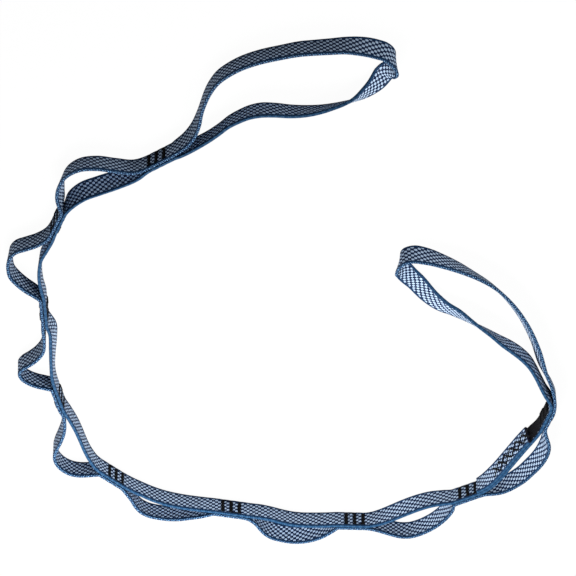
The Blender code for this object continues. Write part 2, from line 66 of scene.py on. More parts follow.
# The solids' own sizes, which place the webbing and the stitching.
WEB_WIDTH = 0.016
WEB_THICKNESS = 0.0026
WEB_EDGE_ROUND = 0.0009
LAYER_GAP = 0.0003
PITCH = 0.100
END_LOOP_A_REACH = 0.210
END_LOOP_B_REACH = 0.206
BAR_SPACING = 0.0070
BAR_WIDTH = 0.0022
BAR_LENGTH = 0.0126
NOSE_OVERSIZE = 0.00006
TURN_CLEARANCE = 0.0003
BAR_MARGIN = 0.0005
BEND_RUN = 0.0015
END_LOOP_TWIST = math.radians(180)
TAIL_START = 0.0100
TAIL_LENGTH = 0.0740
LABEL_THICKNESS = 0.0005
LABEL_OVERRUN = 0.0010
LABEL_GAP = 0.0004
LABEL_LIFT = 0.0006
POCKETS = 8
BARS_PER_TACK = 3

# How finely the webbing and the thread are made, the most that an edge is rounded as a share of
# the thickness, and the run over which webbing bends before and after a hinge.
ROUTE_STEP = 0.0010
ROUND_CUTS = 4
THREAD_SIDES = 6
MOST_ROUND_SHARE = 0.3
UP = Vector((0, 0, 1))
NOWHERE = Vector((0, 0, 0))
MM = 1000

# How far the middle of the thread stands off the webbing, in shares of the tacks' thread: in a
# bar, in the jumps from bar to bar on top of that, and in the splice.
BAR_LIFT = 0.1
JUMP_LIFT = 0.5
SEAM_LIFT = 0.25
# The least and the greatest share of its throw that a stitch takes.
THROW_SHARES = (0.75, 1.2)

HALF_STACK = WEB_THICKNESS + LAYER_GAP / 2
LAYER_OFFSET = (WEB_THICKNESS + LAYER_GAP) / 2
NOSE_RADIUS = HALF_STACK + NOSE_OVERSIZE
HOLLOW_RADIUS = NOSE_RADIUS + TURN_CLEARANCE
TACK_HALF = BAR_SPACING * (BARS_PER_TACK - 1) / 2 + BAR_WIDTH / 2
HINGE_OFFSET = TACK_HALF + BAR_MARGIN + HOLLOW_RADIUS
TACK_RUN = TACK_HALF + BAR_MARGIN

# Directions in degrees, anticlockwise from +X: each link from tack to tack, and the webbing at
# each tack. The first tack's place is measured from the middle of the whole object's footprint.
FIRST_TACK_SHARES = (0.981, -1.539)
LINK_HEADINGS = (38.8, 81.5, 94.7, 114.6, 157.7, 172.0, 199.9, 235.9)
LINK_LENGTH_SHARES = (1.026, 0.954, 0.988, 1.020, 1.035, 1.041, 1.002, 1.102)
TACK_HEADINGS = (33.5, 68.0, 92.0, 103.0, 138.0, 169.0, 178.0, 207.0, 252.0)
END_LOOP_B_HEADING = 273.0

# Routes between the tacks: along the link and outwards, as shares of the pitch, and the lean of
# the webbing in degrees, with its upper edge outwards where positive.
LOAD_SHARES = (
    ((0.22, -0.004, -10), (0.38, 0.030, -24), (0.55, 0.074, -30), (0.68, 0.104, -28),
     (0.79, 0.098, -18)),
    ((0.16, 0.019, 0), (0.27, 0.048, 2), (0.38, 0.080, 3), (0.50, 0.083, 3), (0.60, 0.072, 2),
     (0.70, 0.048, 0)),
    ((0.14, -0.017, 8), (0.22, -0.038, 14), (0.39, -0.026, 14), (0.56, -0.002, 8),
     (0.73, 0.014, 3)),
    ((0.20, 0.008, 1), (0.34, 0.016, 2), (0.47, 0.034, 2), (0.60, 0.056, 1), (0.72, 0.067, 0),
     (0.82, 0.062, 0)),
    ((0.17, 0.040, 0), (0.26, 0.058, 0), (0.36, 0.076, 1), (0.46, 0.083, 1), (0.62, 0.072, 1),
     (0.76, 0.045, 0), (0.86, 0.022, 0)),
    ((0.17, -0.004, 0), (0.25, -0.002, 0), (0.34, 0.010, -1), (0.43, 0.030, -1), (0.52, 0.044, -1),
     (0.60, 0.045, -1), (0.70, 0.035, 0), (0.82, 0.016, 0)),
    ((0.14, 0.030, 2), (0.22, 0.030, 7), (0.32, 0.015, 11), (0.44, -0.008, 13), (0.56, -0.026, 11),
     (0.68, -0.030, 7), (0.78, -0.015, 2)),
    ((0.14, 0.048, 5), (0.22, 0.060, 12), (0.32, 0.062, 14), (0.45, 0.054, 14), (0.58, 0.043, 14),
     (0.72, 0.032, 14), (0.85, 0.027, 11), (0.95, 0.024, 4)),
)
POCKET_SHARES = (
    ((0.20, 0.055, 0), (0.30, 0.155, 0), (0.40, 0.265, 0), (0.51, 0.332, 4), (0.62, 0.340, 9),
     (0.74, 0.288, 14), (0.835, 0.192, 17), (0.880, 0.124, 10)),
    ((0.15, 0.060, 0), (0.235, 0.140, 0), (0.285, 0.220, 0), (0.330, 0.290, 1), (0.385, 0.322, 3),
     (0.450, 0.330, 6), (0.520, 0.320, 8), (0.590, 0.300, 7), (0.665, 0.240, 5), (0.730, 0.165, 3),
     (0.780, 0.090, 0)),
    ((0.18, 0.028, 0), (0.31, 0.034, -2), (0.42, 0.060, -5), (0.49, 0.110, -6), (0.55, 0.180, -6),
     (0.590, 0.240, -4), (0.640, 0.275, -2), (0.705, 0.262, 0), (0.760, 0.215, 0),
     (0.805, 0.145, 0), (0.832, 0.080, 0)),
    ((0.16, 0.036, 0), (0.25, 0.070, -4), (0.34, 0.125, -6), (0.42, 0.195, -6), (0.49, 0.265, -3),
     (0.55, 0.310, 0), (0.61, 0.328, 2), (0.68, 0.328, 3), (0.745, 0.308, 3), (0.795, 0.275, 3),
     (0.835, 0.225, 2), (0.862, 0.165, 1), (0.882, 0.110, 0)),
    ((0.145, 0.090, 0), (0.215, 0.150, 0), (0.275, 0.210, 0), (0.335, 0.250, 0), (0.400, 0.268, 0),
     (0.500, 0.262, 0), (0.600, 0.238, 0), (0.670, 0.207, 0), (0.740, 0.163, 0), (0.820, 0.110, 0),
     (0.870, 0.068, 0)),
    ((0.155, 0.032, 0), (0.225, 0.078, 3), (0.280, 0.136, 9), (0.330, 0.180, 15),
     (0.385, 0.212, 19), (0.460, 0.229, 21), (0.550, 0.237, 20), (0.620, 0.228, 18),
     (0.700, 0.200, 15), (0.775, 0.156, 10), (0.835, 0.103, 6), (0.878, 0.060, 2)),
    ((0.145, 0.088, 0), (0.200, 0.133, 2), (0.260, 0.186, 4), (0.325, 0.234, 7), (0.395, 0.259, 9),
     (0.480, 0.258, 10), (0.560, 0.240, 11), (0.620, 0.219, 12), (0.680, 0.189, 13),
     (0.760, 0.136, 13), (0.825, 0.082, 7)),
    ((0.120, 0.088, 2), (0.160, 0.130, 6), (0.210, 0.171, 12), (0.270, 0.200, 17),
     (0.335, 0.220, 20), (0.420, 0.238, 23), (0.520, 0.242, 25), (0.610, 0.242, 27),
     (0.690, 0.232, 27), (0.760, 0.213, 26), (0.820, 0.187, 22), (0.870, 0.155, 16),
     (0.915, 0.115, 9), (0.955, 0.079, 3)),
)

# Routes of the two end loops, from the load strand round to the pocket strand: away from the tack
# along the webbing and outwards, as shares of the loop's reach, and the lean in degrees. Each loop
# is sewn with half a turn in its webbing, so the far strand is the other way up at its tack. It
# nearly lies down before it goes round the end.
END_LOOP_A_SHARES = (
    (0.090, -0.0105, 180), (0.170, -0.0135, 175), (0.217, -0.011, 173), (0.266, -0.004, 173),
    (0.320, 0.007, 174), (0.362, 0.008, 176), (0.406, 0.004, 178), (0.445, -0.009, 180),
    (0.489, -0.038, 178), (0.533, -0.074, 174), (0.581, -0.105, 168), (0.629, -0.128, 160),
    (0.680, -0.145, 152), (0.730, -0.157, 144), (0.772, -0.162, 132), (0.814, -0.159, 118),
    (0.857, -0.150, 104), (0.889, -0.136, 93), (0.913, -0.125, 79), (0.936, -0.117, 58),
    (0.956, -0.107, 33), (0.970, -0.093, 8), (0.977, -0.073, -8), (0.978, -0.051, -18),
    (0.972, -0.027, -23), (0.956, -0.004, -26), (0.934, 0.023, -25), (0.905, 0.051, -19),
    (0.873, 0.076, -11), (0.826, 0.102, -6), (0.772, 0.131, -3), (0.725, 0.155, -2),
    (0.656, 0.180, 0), (0.582, 0.203, 0), (0.508, 0.215, 0), (0.456, 0.214, 0),
    (0.408, 0.206, 0), (0.356, 0.182, 0), (0.312, 0.151, 0), (0.274, 0.118, 0),
    (0.231, 0.077, -6), (0.182, 0.041, -9), (0.131, 0.019, -8), (0.087, 0.011, -3),
)
END_LOOP_B_SHARES = (
    (0.125, -0.060, 180), (0.157, -0.087, 180), (0.209, -0.130, 180), (0.249, -0.169, 180),
    (0.281, -0.216, 178), (0.304, -0.264, 174), (0.324, -0.317, 166), (0.346, -0.369, 156),
    (0.366, -0.424, 146), (0.385, -0.476, 135), (0.401, -0.527, 122), (0.413, -0.587, 110),
    (0.440, -0.646, 100), (0.468, -0.689, 92), (0.496, -0.725, 85), (0.522, -0.761, 75),
    (0.548, -0.789, 59), (0.568, -0.808, 39), (0.587, -0.819, 18), (0.609, -0.821, 2),
    (0.629, -0.816, -7), (0.645, -0.799, -13), (0.654, -0.778, -16), (0.657, -0.753, -14),
    (0.658, -0.721, -8), (0.653, -0.671, 1), (0.640, -0.597, 13), (0.618, -0.522, 24),
    (0.588, -0.446, 29), (0.534, -0.359, 29), (0.456, -0.271, 27), (0.345, -0.179, 24),
    (0.219, -0.096, 19), (0.158, -0.045, 8),
)

# The camera, at the photograph's viewing angle, and the width and place of each lamp. To the
# camera, FLOOR_WHITE_SHARE of the floor's tone is plain white, and the rest shows the shadow.
CAMERA_PLACE = (-0.0019, -2.46338, 2.5983)
CAMERA_TARGET = (-0.0019, -0.0097, 0)
CAMERA_LENS = 281.25
CAMERA_SENSOR = 36
FLOOR_WHITE_SHARE = 0.965
FLOOR_HALF = 6
KEY_LAMP = (0.35, (0.15, 0.35, 0.5))
FILL_LAMP = (0.30, (-0.5, -0.25, 0.6))


def colour(hex_code):
    """Returns the linear colour of an sRGB hex code."""
    shares = [int(hex_code[i:i + 2], 16) / 255 for i in (0, 2, 4)]
    return [s / 12.92 if s <= 0.04045 else ((s + 0.055) / 1.055) ** 2.4 for s in shares]


class DaisyWebbing(bpy.types.PropertyGroup):
    """Sizes and colours of the webbing."""
    width: FloatProperty(name="Width", description="Width of the webbing",
                         default=WEB_WIDTH, min=0.010, max=0.025, unit="LENGTH", precision=4)
    thickness: FloatProperty(name="Thickness", description="Thickness of one layer of webbing",
                             default=WEB_THICKNESS, min=0.001, max=0.004, unit="LENGTH",
                             precision=4)
    pressed: FloatProperty(name="Pressed in", description="Share of the thickness that a row of "
                           "stitches presses in", default=0.16, min=0, max=0.5,
                           subtype="FACTOR")
    column: FloatProperty(name="Float columns", description="Distance along the webbing from one "
                          "column of floats to the next", default=0.00243, min=0.001, max=0.01,
                          unit="LENGTH", precision=5)
    row: FloatProperty(name="Float rows", description="Distance across the webbing between the "
                       "floats of one column", default=0.00377, min=0.001, max=0.01,
                       unit="LENGTH", precision=5)
    step: FloatProperty(name="Float step", description="Share of a row by which each column is "
                        "shifted against the last one", default=0.34, min=0, max=1,
                        subtype="FACTOR")
    selvedge: FloatProperty(name="Selvedge", description="Width of the dyed selvedge on each face",
                            default=0.0019, min=0, max=0.005, unit="LENGTH", precision=4)
    ground_colour: FloatVectorProperty(name="Ground", description="Dark yarn of the faces",
                                       default=colour("0A1F42"), subtype="COLOR", min=0, max=1)
    float_colour: FloatVectorProperty(name="Floats", description="Pale yarn of the faces",
                                      default=colour("B8D0EB"), subtype="COLOR", min=0, max=1)
    edge_colour: FloatVectorProperty(name="Edge", description="Blue yarn of the selvedges",
                                     default=colour("103C60"), subtype="COLOR", min=0, max=1)
    edge_pale: FloatVectorProperty(name="Edge, pale", description="Pale yarn of the selvedges",
                                   default=colour("7FAED4"), subtype="COLOR", min=0, max=1)
    # Besides the dark grains along the selvedges, this navy is painted shade on the selvedge of
    # each face.
    edge_dark_and_shade: FloatVectorProperty(name="Edge, dark", description="Dark yarn of the selvedges",
                                   default=colour("0D2347"), subtype="COLOR", min=0, max=1)


class DaisyStitching(bpy.types.PropertyGroup):
    """Sizes and colour of the sewing thread."""
    thread: FloatProperty(name="Thread", description="Diameter of the sewing thread",
                          default=0.00055, min=0.0002, max=0.001, unit="LENGTH", precision=5)
    row: FloatProperty(name="Row spacing", description="Distance between the zigzag rows of a bar",
                       default=0.00030, min=0.0002, max=0.002, unit="LENGTH", precision=5)
    throw: FloatProperty(name="Throw", description="How far the zigzag swings to each side",
                         default=0.00170, min=0.0003, max=0.002, unit="LENGTH", precision=5)
    crown: FloatProperty(name="Crown", description="How far a stitch rises between its holes",
                         default=0.00022, min=0, max=0.001, unit="LENGTH", precision=5)
    seam_thread: FloatProperty(name="Seam thread", description="Diameter of the splice's thread",
                               default=0.00080, min=0.0002, max=0.001, unit="LENGTH", precision=5)
    seam_stitch: FloatProperty(name="Seam stitch", description="Length of a stitch in the splice",
                               default=0.0022, min=0.001, max=0.005, unit="LENGTH", precision=4)
    thread_colour: FloatVectorProperty(name="Thread colour", description="Colour of the thread",
                                       default=colour("0A0A0C"), subtype="COLOR", min=0, max=1)


class DaisyLabel(bpy.types.PropertyGroup):
    """Size and colour of the plain label."""
    width: FloatProperty(name="Width", description="Width of the label across the webbing",
                         default=0.0136, min=0.005, max=0.02, unit="LENGTH", precision=4)
    label_colour: FloatVectorProperty(name="Label colour", description="Colour of the label",
                                      default=colour("0E0E11"), subtype="COLOR", min=0, max=1)


class DaisyStage(bpy.types.PropertyGroup):
    """Light and floor round the chain."""
    sky: FloatProperty(name="Sky", description="Strength of the even light from all round",
                       default=0.20, min=0, max=2)
    key: FloatProperty(name="Key lamp", description="Power of the main lamp, beyond the chain",
                       default=7.2, min=0, max=100, subtype="POWER", unit="POWER")
    fill: FloatProperty(name="Fill lamp", description="Power of the lamp on the camera's side",
                        default=3.2, min=0, max=100, subtype="POWER", unit="POWER")
    floor_colour: FloatVectorProperty(name="Floor colour", description="Colour of the floor in "
                                      "the light that it throws back", default=colour("BEBFC2"),
                                      subtype="COLOR", min=0, max=1)


def heading_vector(degrees):
    return Vector((math.cos(math.radians(degrees)), math.sin(math.radians(degrees))))


def outward(direction):
    """Returns the normal on the outer side of the chain, to the right of the direction."""
    return Vector((direction.y, -direction.x))


def tack_places():
    """Walks along the links and returns the middle of each bar tack on the ground."""
    places = [Vector(FIRST_TACK_SHARES) * PITCH]
    for heading, share in zip(LINK_HEADINGS, LINK_LENGTH_SHARES):
        places.append(places[-1] + heading_vector(heading) * share * PITCH)
    return places


TACKS = tack_places()
TACK_DIRECTIONS = [heading_vector(heading) for heading in TACK_HEADINGS]


def tack_point(tack, along, out):
    direction = TACK_DIRECTIONS[tack]
    return TACKS[tack] + direction * along + outward(direction) * out


def flat_point(place, lean=0):
    return Vector((place.x, place.y, lean))


def stand_height(lean):
    """Returns how high the middle of a leaning strap is when its lower edge meets the ground."""
    flat = WEB_THICKNESS / 2 - WEB_EDGE_ROUND
    shoulder = WEB_WIDTH / 2 - WEB_EDGE_ROUND
    return flat * abs(math.sin(lean)) + shoulder * abs(math.cos(lean)) + WEB_EDGE_ROUND


def smooth_route(places, first_direction, last_direction):
    """Returns close points on a smooth curve through (x, y, lean) places."""
    knots = [Vector(place) for place in places]
    lengths = [(b.xy - a.xy).length for a, b in zip(knots, knots[1:])]
    slopes = [Vector((first_direction.x, first_direction.y, 0))]
    for before, at, after, near, far in zip(knots, knots[1:], knots[2:], lengths, lengths[1:]):
        slopes.append(((at - before) / near * far + (after - at) / far * near) / (near + far))
    slopes.append(Vector((last_direction.x, last_direction.y, 0)))
    points = [knots[0]]
    for index, length in enumerate(lengths):
        steps = max(1, round(length / ROUTE_STEP))
        for step in range(1, steps + 1):
            t = step / steps
            rise = slopes[index] * length
            fall = slopes[index + 1] * length
            points.append(knots[index] * (2 * t**3 - 3 * t**2 + 1) + rise * (t**3 - 2 * t**2 + t)
                          + knots[index + 1] * (3 * t**2 - 2 * t**3) + fall * (t**3 - t**2))
    return points


def straight(start, end):
    """Returns close points from start to end, without the end."""
    steps = max(1, round((end - start).length / ROUTE_STEP))
    return [start.lerp(end, step / steps) for step in range(steps)]


def strand_route(link, side, shares):
    """Returns a strand's route from the middle of its tack to the middle of the next one."""
    out = side * LAYER_OFFSET
    last = link == POCKETS - 1
    leave = flat_point(tack_point(link, TACK_RUN, out))
    join = -TACK_RUN if last else -HINGE_OFFSET - BEND_RUN
    arrive = flat_point(tack_point(link + 1, join, out))
    direction = heading_vector(LINK_HEADINGS[link])
    side_way = outward(direction)
    places = [leave]
    for along, away, lean in shares:
        place = TACKS[link] + (direction * along + side_way * away) * PITCH
        places.append(Vector((place.x, place.y, math.radians(lean))))
    places.append(arrive)
    span = smooth_route(places, TACK_DIRECTIONS[link], TACK_DIRECTIONS[link + 1])
    start = flat_point(tack_point(link, 0, out))
    end = flat_point(tack_point(link + 1, 0, out))
    return straight(start, leave) + span[:-1] + straight(arrive, end) + [end]


def end_loop_route(tack, sign, reach, shares):
    """Returns an end loop's route from mid tack on the load side to mid tack on the pocket side.

    The first loop runs with its outer side on the right and the last one on the left, so the lean
    changes side.
    """
    twist = -sign * END_LOOP_TWIST
    near = -HINGE_OFFSET - BEND_RUN if sign < 0 else TACK_RUN
    places = [flat_point(tack_point(tack, near, -LAYER_OFFSET), twist)]
    bend = None
    if sign > 0:
        way = heading_vector(END_LOOP_B_HEADING)
        bend = tack_point(tack, HINGE_OFFSET, 0) + way * (HOLLOW_RADIUS + BAR_MARGIN)
        layer = outward(way) * LAYER_OFFSET
        places.append(flat_point(bend - layer, twist))
    for away, out, lean in shares:
        place = tack_point(tack, sign * away * reach, out * reach)
        places.append(flat_point(place, -sign * math.radians(lean)))
    if bend:
        places.append(flat_point(bend + layer))
    places.append(flat_point(tack_point(tack, near, LAYER_OFFSET)))
    direction = TACK_DIRECTIONS[tack] * sign
    span = smooth_route(places, direction, -direction)
    start = flat_point(tack_point(tack, 0, -LAYER_OFFSET), twist)
    end = flat_point(tack_point(tack, 0, LAYER_OFFSET))
    return straight(start, places[0]) + span[:-1] + straight(places[-1], end) + [end]


def route_length(route):
    return sum((b.xy - a.xy).length for a, b in zip(route, route[1:]))


def frame_at(route, place):
    """Returns the point, outward normal, upward axis and lean of a route at a length."""
    left = place
    for a, b in zip(route, route[1:]):
        step = (b.xy - a.xy).length
        if left <= step or b is route[-1]:
            at = a.lerp(b, left / step)
            side = outward((b.xy - a.xy).normalized())
            break
        left -= step
    out = Vector((side.x * math.cos(at.z), side.y * math.cos(at.z), -math.sin(at.z)))
    up = Vector((side.x * math.sin(at.z), side.y * math.sin(at.z), math.cos(at.z)))
    return Vector((at.x, at.y, stand_height(at.z))), out, up, at.z


def layer_beside(route, first, last, offset):
    """Returns (length along the route, place, lean) of close points on a layer beside it."""
    count = round((last - first) / ROUTE_STEP)
    places = []
    for step in range(count + 1):
        along = first + (last - first) * step / count
        place, out, _, lean = frame_at(route, along)
        places.append((along, place - out * offset, lean))
    return places


def press_at(place):
    """Returns how far the stitching of the nearest bar presses in, from 0 to 1."""
    pressed = 0
    for tack, direction in zip(TACKS, TACK_DIRECTIONS):
        away = place.xy - tack
        if away.length > TACK_HALF + BAR_SPACING or abs(away.dot(outward(direction))) > HALF_STACK:
            continue
        for bar in range(BARS_PER_TACK):
            gap = abs(away.dot(direction) - (bar - (BARS_PER_TACK - 1) / 2) * BAR_SPACING)
            if gap < BAR_WIDTH:
                pressed = max(pressed, math.cos(gap / BAR_WIDTH * math.pi / 2) ** 2)
    return pressed


def add_node(tree, kind, inputs=None, **settings):
    """Adds a node with its settings, and sets or links its inputs by name or number.

    A node that is given as an input stands for its first output.
    """
    node = tree.nodes.new(kind)
    for key, value in settings.items():
        setattr(node, key, value)
    for key, value in (inputs or {}).items():
        if isinstance(value, bpy.types.Node):
            value = value.outputs[0]
        if isinstance(value, bpy.types.NodeSocket):
            tree.links.new(value, node.inputs[key])
        else:
            node.inputs[key].default_value = value
    return node


def new_tree(name, sizes):
    """Starts a Geometry Nodes tree with a geometry, named sizes and a material as its inputs."""
    tree = bpy.data.node_groups.new(name, "GeometryNodeTree")
    tree.interface.new_socket("Geometry", in_out="INPUT", socket_type="NodeSocketGeometry")
    for size in sizes:
        tree.interface.new_socket(size, in_out="INPUT", socket_type="NodeSocketFloat")
    tree.interface.new_socket("Seed", in_out="INPUT", socket_type="NodeSocketInt")
    tree.interface.new_socket("Material", in_out="INPUT", socket_type="NodeSocketMaterial")
    tree.interface.new_socket("Geometry", in_out="OUTPUT", socket_type="NodeSocketGeometry")
    return tree, tree.nodes.new("NodeGroupInput")


def end_tree(tree, group_in, geometry):
    """Ends a tree in Realize Instances and Set Material."""
    real = add_node(tree, "GeometryNodeRealizeInstances", {"Geometry": geometry})
    finish = add_node(tree, "GeometryNodeSetMaterial", {
        "Geometry": real, "Material": group_in.outputs["Material"]})
    add_node(tree, "NodeGroupOutput", {0: finish})


def grown_mesh(name, path, tree, values):
    """Runs a tree on a path and returns the plain mesh that it makes."""
    carrier = bpy.data.objects.new(name + "_path", path)
    bpy.context.scene.collection.objects.link(carrier)
    modifier = carrier.modifiers.new("Nodes", "NODES")
    modifier.node_group = tree
    for item in tree.interface.items_tree:
        if item.in_out == "INPUT" and item.name in values:
            modifier[item.identifier] = values[item.name]
    carrier.modifiers.new("Weighted normals", "WEIGHTED_NORMAL").keep_sharp = True
    bpy.context.view_layer.update()
    depsgraph = bpy.context.evaluated_depsgraph_get()
    mesh = bpy.data.meshes.new_from_object(carrier.evaluated_get(depsgraph),
                                           preserve_all_data_layers=True, depsgraph=depsgraph)
    bpy.data.objects.remove(carrier)
    bpy.data.meshes.remove(path)
    mesh.name = name
    if not mesh.polygons:
        raise RuntimeError(name + " has no faces")
    return mesh


def new_piece(name, mesh):
    piece = bpy.data.objects.new(name, mesh)
    bpy.context.scene.collection.objects.link(piece)
    return piece


def path_mesh(name, lines, numbers, vectors):
    """Makes a mesh of open lines, with named numbers and vectors at its points."""
    points = [point for line in lines for point in line]
    edges = []
    start = 0
    for line in lines:
        edges += [(start + i, start + i + 1) for i in range(len(line) - 1)]
        start += len(line)
    mesh = bpy.data.meshes.new(name)
    mesh.from_pydata(points, edges, [])
    for key, values in numbers.items():
        mesh.attributes.new(key, "FLOAT", "POINT").data.foreach_set("value", values)
    for key, values in vectors.items():
        flat = [x for vector in values for x in vector]
        mesh.attributes.new(key, "FLOAT_VECTOR", "POINT").data.foreach_set("vector", flat)
    return mesh


def build_tape_tree():
    """Makes the tree that carries the section of flat webbing along a path.

    The path's points hold their lean, how far they are pressed in, and their place along the
    webbing. The tape keeps (along, across, through) of each point as the attribute web_place.
    The section's height runs downwards, so Upper Edge is -1 where across grows upwards, and 1
    where the webbing is the other way up.
    """
    tree, group_in = new_tree("Flat webbing", ["Width", "Thickness", "Edge Round", "Pressed",
                                               "Upper Edge"])
    size = group_in.outputs
    lean, press, along = (add_node(tree, "GeometryNodeInputNamedAttribute", {"Name": key},
                                   data_type="FLOAT") for key in ("lean", "press", "along"))
    curve = add_node(tree, "GeometryNodeMeshToCurve", {"Mesh": size["Geometry"]})
    upright = add_node(tree, "GeometryNodeSetCurveNormal", {"Curve": curve}, mode="Z_UP")
    leaning = add_node(tree, "GeometryNodeSetCurveTilt", {"Curve": upright, "Tilt": lean})
    section = add_node(tree, "GeometryNodeCurvePrimitiveQuadrilateral", {
        "Width": size["Thickness"], "Height": size["Width"]}, mode="RECTANGLE")
    rounded = add_node(tree, "GeometryNodeFilletCurve", {
        "Curve": section, "Radius": size["Edge Round"], "Count": ROUND_CUTS,
        "Limit Radius": True}, mode="POLY")

    # The spine keeps its outward normal and the section its own places, for use on the tape.
    spine = tree.nodes.new("GeometryNodeCaptureAttribute")
    profile = tree.nodes.new("GeometryNodeCaptureAttribute")
    for node, line, name, kind in ((spine, leaning, "Normal", "GeometryNodeInputNormal"),
                                   (profile, rounded, "Place", "GeometryNodeInputPosition")):
        node.capture_items.new("VECTOR", name)
        tree.links.new(line.outputs[0], node.inputs[0])
        tree.links.new(add_node(tree, kind).outputs[0], node.inputs[name])

    tape = add_node(tree, "GeometryNodeCurveToMesh", {
        "Curve": spine, "Profile Curve": profile, "Fill Caps": True})
    through, down, _ = add_node(tree, "ShaderNodeSeparateXYZ", {
        0: profile.outputs["Place"]}).outputs
    inward = add_node(tree, "ShaderNodeMath", {0: through, 1: press}, operation="MULTIPLY")
    share = add_node(tree, "ShaderNodeMath", {0: inward, 1: size["Pressed"]},
                     operation="MULTIPLY")
    offset = add_node(tree, "ShaderNodeVectorMath", {
        0: spine.outputs["Normal"], "Scale": share}, operation="SCALE")
    pressed = add_node(tree, "GeometryNodeSetPosition", {"Geometry": tape, "Offset": offset})
    across = add_node(tree, "ShaderNodeMath", {0: down, 1: size["Upper Edge"]},
                      operation="MULTIPLY")
    web_place = add_node(tree, "ShaderNodeCombineXYZ", {0: along, 1: across, 2: through})
    stored = add_node(tree, "GeometryNodeStoreNamedAttribute", {
        "Geometry": pressed, "Name": "web_place", "Value": web_place},
        data_type="FLOAT_VECTOR", domain="POINT")
    smooth = add_node(tree, "GeometryNodeSetShadeSmooth", {"Geometry": stored})
    end_tree(tree, group_in, smooth)
    return tree


def build_thread_tree():
    """Makes the tree that sews stitches along a path.

    The path's points hold the way across, in which the thread swings from hole to hole, and the
    way out of the cloth, in which each stitch rises between its holes.
    """
    tree, group_in = new_tree("Stitches", ["Spacing", "Throw", "Crown", "Thread"])
    size = group_in.outputs
    across, out = (add_node(tree, "GeometryNodeInputNamedAttribute", {"Name": key},
                            data_type="FLOAT_VECTOR") for key in ("across", "out"))
    curve = add_node(tree, "GeometryNodeMeshToCurve", {"Mesh": size["Geometry"]})
    half = add_node(tree, "ShaderNodeMath", {0: size["Spacing"], 1: 2.0}, operation="DIVIDE")
    resampled = add_node(tree, "GeometryNodeResampleCurve", {"Curve": curve, "Length": half},
                         mode="LENGTH")

    # Each point is half a stitch on: the swing turns round in four points and the rise in two.
    spot = add_node(tree, "GeometryNodeSplineParameter")
    waves = []
    for turn in (math.pi / 2, math.pi):
        angle = add_node(tree, "ShaderNodeMath", {0: spot.outputs["Index"], 1: turn},
                         operation="MULTIPLY")
        waves.append(add_node(tree, "ShaderNodeMath", {0: angle}, operation="COSINE"))
    uneven = add_node(tree, "FunctionNodeRandomValue", {
        2: THROW_SHARES[0], 3: THROW_SHARES[1], "Seed": size["Seed"]}, data_type="FLOAT")
    throw = add_node(tree, "ShaderNodeMath", {0: size["Throw"], 1: uneven.outputs[1]},
                     operation="MULTIPLY")
    sideways = add_node(tree, "ShaderNodeMath", {0: waves[0], 1: throw}, operation="MULTIPLY")
    sunk = add_node(tree, "ShaderNodeMath", {0: waves[1], 1: size["Crown"]},
                    operation="MULTIPLY")
    side_step = add_node(tree, "ShaderNodeVectorMath", {0: across, "Scale": sideways},
                         operation="SCALE")
    in_step = add_node(tree, "ShaderNodeVectorMath", {0: out, "Scale": sunk}, operation="SCALE")
    step = add_node(tree, "ShaderNodeVectorMath", {0: side_step, 1: in_step},
                    operation="SUBTRACT")
    moved = add_node(tree, "GeometryNodeSetPosition", {"Geometry": resampled, "Offset": step})
    radius = add_node(tree, "ShaderNodeMath", {0: size["Thread"], 1: 2.0}, operation="DIVIDE")
    ring = add_node(tree, "GeometryNodeCurvePrimitiveCircle", {
        "Resolution": THREAD_SIDES, "Radius": radius}, mode="RADIUS")
    thread = add_node(tree, "GeometryNodeCurveToMesh", {
        "Curve": moved, "Profile Curve": ring, "Fill Caps": True})
    smooth = add_node(tree, "GeometryNodeSetShadeSmooth", {"Geometry": thread})
    end_tree(tree, group_in, smooth)
    return tree


def new_material(name, roughness, sheen, gloss):
    """Starts a cloth material. The sheen is the soft light on the loose fibres at its surface."""
    material = bpy.data.materials.new(name)
    material.use_nodes = True
    shader = material.node_tree.nodes["Principled BSDF"]
    for key, value in (("Roughness", roughness), ("IOR", 1.53), ("Specular IOR Level", gloss),
                       ("Sheen Weight", sheen), ("Sheen Roughness", 0.4)):
        shader.inputs[key].default_value = value
    return material, material.node_tree, shader


def dress(tree, shader, tone, relief, distance, strength):
    """Gives a shader its colour and the bump of its relief."""
    tree.links.new(tone, shader.inputs["Base Color"])
    bump = add_node(tree, "ShaderNodeBump", {
        "Height": relief, "Distance": distance, "Strength": strength})
    tree.links.new(bump.outputs[0], shader.inputs["Normal"])


def wave_sum(tree, first, second):
    """Adds two cosine waves. The sum goes from -2 to 2, and is highest where both peak."""
    waves = [add_node(tree, "ShaderNodeMath", {0: value}, operation="COSINE")
             for value in (first, second)]
    return add_node(tree, "ShaderNodeMath", {0: waves[0], 1: waves[1]})


def weighted_sum(tree, *parts):
    """Adds values, each times its weight."""
    total = None
    for value, weight in parts:
        scaled = add_node(tree, "ShaderNodeMath", {0: value, 1: weight}, operation="MULTIPLY")
        total = add_node(tree, "ShaderNodeMath", {0: total, 1: scaled}) if total else scaled
    return total


def layered(tree, base, *layers):
    """Lays colours over a base, each up to its share as a value passes from low to high."""
    for value, low, high, share, tone in layers:
        cover = add_node(tree, "ShaderNodeMapRange", {
            "Value": value, "From Min": low, "From Max": high, "To Max": share},
            interpolation_type="SMOOTHSTEP")
        base = add_node(tree, "ShaderNodeMix", {0: cover, 6: base, 7: tone},
                        data_type="RGBA").outputs[2]
    return base


def opaque(tone, share=1):
    """Returns a colour, or a share of its light, as a node takes it."""
    return (*(part * share for part in tone), 1)


